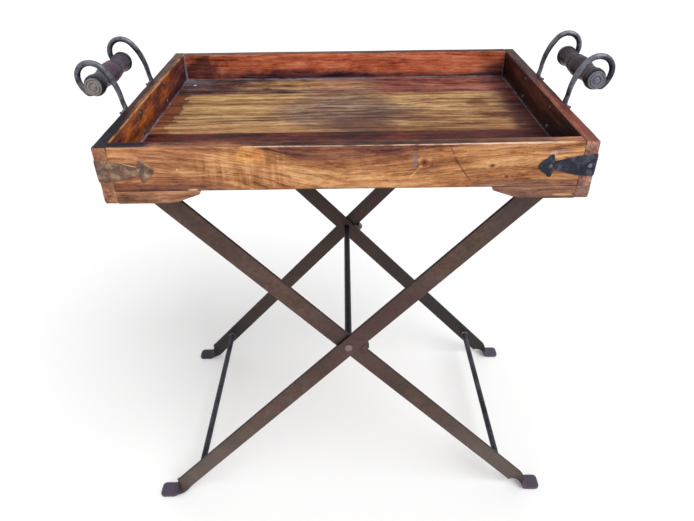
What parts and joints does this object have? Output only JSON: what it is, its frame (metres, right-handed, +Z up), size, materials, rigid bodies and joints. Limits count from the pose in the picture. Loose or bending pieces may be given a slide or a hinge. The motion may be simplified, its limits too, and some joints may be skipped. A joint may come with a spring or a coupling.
{
  "type": "folding tray table",
  "caption": "Rectangular wooden gallery tray with upright hooked end handles, resting on a cross-legged folding stand of flat iron bars.",
  "frame": {"origin": "on the ground, under the middle of the table", "axes": "+X along the tray, +Y from front to back, +Z up"},
  "size_m": [0.6844, 0.4076, 0.7268],
  "materials": {
    "front_board_wood": "waxed, worn edges",
    "wall_wood": "waxed, worn edges",
    "plank_wood": "weathered, waxed",
    "foot_wood": "worn",
    "turned_wood": "turned, dark stain",
    "strap_iron": "hammered, blackened",
    "nail_steel": "dull",
    "hook_iron": "forged, burnished",
    "leg_iron": "forged, brown patina",
    "rod_iron": "forged, dark"
  },
  "bodies": {
    "outer_frame": {"outer_front_leg": "leg_iron", "outer_back_leg": "leg_iron", "outer_top_rod": "rod_iron", "outer_lower_rod": "rod_iron"},
    "inner_frame": {"inner_front_leg": "leg_iron", "inner_back_leg": "leg_iron", "inner_top_rod": "rod_iron", "inner_lower_rod": "rod_iron", "front_stop_lug": "leg_iron", "back_stop_lug": "leg_iron", "pivot_rod": "rod_iron"},
    "tray": {"front_board": "front_board_wood", "back_board": "wall_wood", "left_end_board": "wall_wood", "right_end_board": "wall_wood", "front_plank": "plank_wood", "middle_plank": "plank_wood", "back_plank": "plank_wood", "left_cleat": "plank_wood", "right_cleat": "plank_wood", "left_foot_rail": "foot_wood", "right_foot_rail": "foot_wood", "front_left_bracket": "foot_wood", "front_right_bracket": "foot_wood", "back_left_bracket": "foot_wood", "back_right_bracket": "foot_wood", "front_left_strap": "strap_iron", "front_right_strap": "strap_iron", "back_left_strap": "strap_iron", "back_right_strap": "strap_iron", "strap_nails": "strap_iron", "corner_nails": "nail_steel", "underside_nails": "nail_steel", "handle_screws": "nail_steel", "handle_nuts": "nail_steel", "left_front_hook": "hook_iron", "right_front_hook": "hook_iron", "left_back_hook": "hook_iron", "right_back_hook": "hook_iron", "left_grip_rod": "hook_iron", "right_grip_rod": "hook_iron"},
    "left_grip": {"left_grip": "turned_wood", "left_ferrules": "hook_iron"},
    "right_grip": {"right_grip": "turned_wood", "right_ferrules": "hook_iron"}
  },
  "joints": [
    {"name": "stand_fold", "type": "hinge", "parent": "outer_frame", "child": "inner_frame", "pos_m": [0, 0, 0.34], "axis": [0, 1, 0], "range_deg": [0, 80]},
    {"name": "tray_lift", "type": "slide", "parent": "outer_frame", "child": "tray", "axis": [0, 0, 1], "range_m": [0, 0.392]},
    {"name": "left_grip_spin", "type": "hinge", "parent": "tray", "child": "left_grip", "pos_m": [-0.3215, -0.006, 0.693], "axis": [0, 1, 0], "continuous": true},
    {"name": "right_grip_spin", "type": "hinge", "parent": "tray", "child": "right_grip", "pos_m": [0.3215, -0.006, 0.693], "axis": [0, 1, 0], "continuous": true}
  ],
  "couplings": [
    {"joint": "tray_lift", "follows": "stand_fold", "m_per_rad": 0.28}
  ]
}
